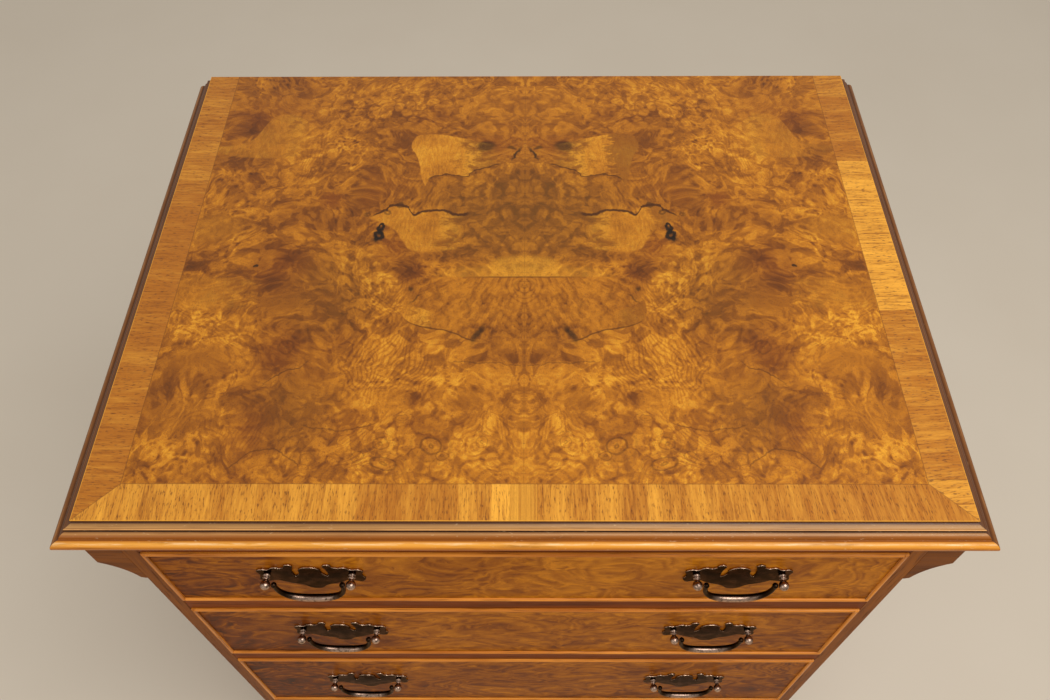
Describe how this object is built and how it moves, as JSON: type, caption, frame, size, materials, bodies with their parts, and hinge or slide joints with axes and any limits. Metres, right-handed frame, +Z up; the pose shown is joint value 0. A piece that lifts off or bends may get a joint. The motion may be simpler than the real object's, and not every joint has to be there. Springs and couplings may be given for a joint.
{
  "type": "chest of drawers",
  "caption": "Small veneered chest of drawers: moulded overhanging top on shaped brackets, graduated beaded drawers with drop handles, bracket feet.",
  "frame": {"origin": "on the floor, at the middle of the chest's box, handles included", "axes": "+Z up, -Y towards the drawer fronts, +X to the right when facing the drawers"},
  "size_m": [0.65, 0.4914, 0.761],
  "materials": {
    "burr_walnut_top": "polished lacquer",
    "crossband_walnut": "polished lacquer",
    "dark_moulding": "polished lacquer, rubbed on the arrises",
    "drawer_walnut": "polished lacquer",
    "cock_bead_walnut": "polished lacquer",
    "case_walnut": "polished lacquer",
    "rail_walnut": "polished lacquer",
    "base_walnut": "polished lacquer",
    "carcass_timber": "bare planed timber",
    "plywood": "bare plywood",
    "bronzed_handles": "dark bronzed, rubbed on the high spots",
    "steel_screws": "plain"
  },
  "bodies": {
    "case": {"back_panel": "plywood", "back_panel_screws": "steel_screws", "base_moulding": "base_walnut", "bottom_board": "carcass_timber", "drawer_rail_1": "rail_walnut", "drawer_rail_2": "rail_walnut", "drawer_rail_3": "rail_walnut", "drawer_runners": "carcass_timber", "drawer_stops": "carcass_timber", "foot_blocks": "carcass_timber", "front_feet": "base_walnut", "rear_feet": "base_walnut", "side_left": "case_walnut", "side_right": "case_walnut", "top_back_rail": "carcass_timber", "top_brackets": "case_walnut", "top_burr_veneer": "burr_walnut_top", "top_crossbands": "crossband_walnut", "top_front_rail": "rail_walnut", "top_kickers": "carcass_timber", "top_moulding_front": "dark_moulding", "top_moulding_left": "dark_moulding", "top_moulding_right": "dark_moulding", "top_panel": "plywood"},
    "drawer_1": {"drawer_1_back": "carcass_timber", "drawer_1_bottom": "plywood", "drawer_1_cock_beads": "cock_bead_walnut", "drawer_1_front": "drawer_walnut", "drawer_1_handle_plates": "bronzed_handles", "drawer_1_handle_posts": "bronzed_handles", "drawer_1_sides": "carcass_timber"},
    "bail_1_left": {"drawer_1_bail_left": "bronzed_handles"},
    "bail_1_right": {"drawer_1_bail_right": "bronzed_handles"},
    "drawer_2": {"drawer_2_back": "carcass_timber", "drawer_2_bottom": "plywood", "drawer_2_cock_beads": "cock_bead_walnut", "drawer_2_front": "drawer_walnut", "drawer_2_handle_plates": "bronzed_handles", "drawer_2_handle_posts": "bronzed_handles", "drawer_2_sides": "carcass_timber"},
    "bail_2_left": {"drawer_2_bail_left": "bronzed_handles"},
    "bail_2_right": {"drawer_2_bail_right": "bronzed_handles"},
    "drawer_3": {"drawer_3_back": "carcass_timber", "drawer_3_bottom": "plywood", "drawer_3_cock_beads": "cock_bead_walnut", "drawer_3_front": "drawer_walnut", "drawer_3_handle_plates": "bronzed_handles", "drawer_3_handle_posts": "bronzed_handles", "drawer_3_sides": "carcass_timber"},
    "bail_3_left": {"drawer_3_bail_left": "bronzed_handles"},
    "bail_3_right": {"drawer_3_bail_right": "bronzed_handles"},
    "drawer_4": {"drawer_4_back": "carcass_timber", "drawer_4_bottom": "plywood", "drawer_4_cock_beads": "cock_bead_walnut", "drawer_4_front": "drawer_walnut", "drawer_4_handle_plates": "bronzed_handles", "drawer_4_handle_posts": "bronzed_handles", "drawer_4_sides": "carcass_timber"},
    "bail_4_left": {"drawer_4_bail_left": "bronzed_handles"},
    "bail_4_right": {"drawer_4_bail_right": "bronzed_handles"}
  },
  "joints": [
    {"name": "drawer_1_slide", "type": "slide", "parent": "case", "child": "drawer_1", "axis": [0, -1, 0], "range_m": [0, 0.3]},
    {"name": "bail_1_left_swing", "type": "hinge", "parent": "drawer_1", "child": "bail_1_left", "pos_m": [-0.161, -0.2419, 0.681], "axis": [-1, 0, 0], "range_deg": [-10, 110]},
    {"name": "bail_1_right_swing", "type": "hinge", "parent": "drawer_1", "child": "bail_1_right", "pos_m": [0.161, -0.2419, 0.681], "axis": [-1, 0, 0], "range_deg": [-10, 110]},
    {"name": "drawer_2_slide", "type": "slide", "parent": "case", "child": "drawer_2", "axis": [0, -1, 0], "range_m": [0, 0.3]},
    {"name": "bail_2_left_swing", "type": "hinge", "parent": "drawer_2", "child": "bail_2_left", "pos_m": [-0.161, -0.2419, 0.55], "axis": [-1, 0, 0], "range_deg": [-10, 110]},
    {"name": "bail_2_right_swing", "type": "hinge", "parent": "drawer_2", "child": "bail_2_right", "pos_m": [0.161, -0.2419, 0.55], "axis": [-1, 0, 0], "range_deg": [-10, 110]},
    {"name": "drawer_3_slide", "type": "slide", "parent": "case", "child": "drawer_3", "axis": [0, -1, 0], "range_m": [0, 0.3]},
    {"name": "bail_3_left_swing", "type": "hinge", "parent": "drawer_3", "child": "bail_3_left", "pos_m": [-0.161, -0.2419, 0.393], "axis": [-1, 0, 0], "range_deg": [-10, 110]},
    {"name": "bail_3_right_swing", "type": "hinge", "parent": "drawer_3", "child": "bail_3_right", "pos_m": [0.161, -0.2419, 0.393], "axis": [-1, 0, 0], "range_deg": [-10, 110]},
    {"name": "drawer_4_slide", "type": "slide", "parent": "case", "child": "drawer_4", "axis": [0, -1, 0], "range_m": [0, 0.3]},
    {"name": "bail_4_left_swing", "type": "hinge", "parent": "drawer_4", "child": "bail_4_left", "pos_m": [-0.161, -0.2419, 0.2115], "axis": [-1, 0, 0], "range_deg": [-10, 110]},
    {"name": "bail_4_right_swing", "type": "hinge", "parent": "drawer_4", "child": "bail_4_right", "pos_m": [0.161, -0.2419, 0.2115], "axis": [-1, 0, 0], "range_deg": [-10, 110]}
  ]
}
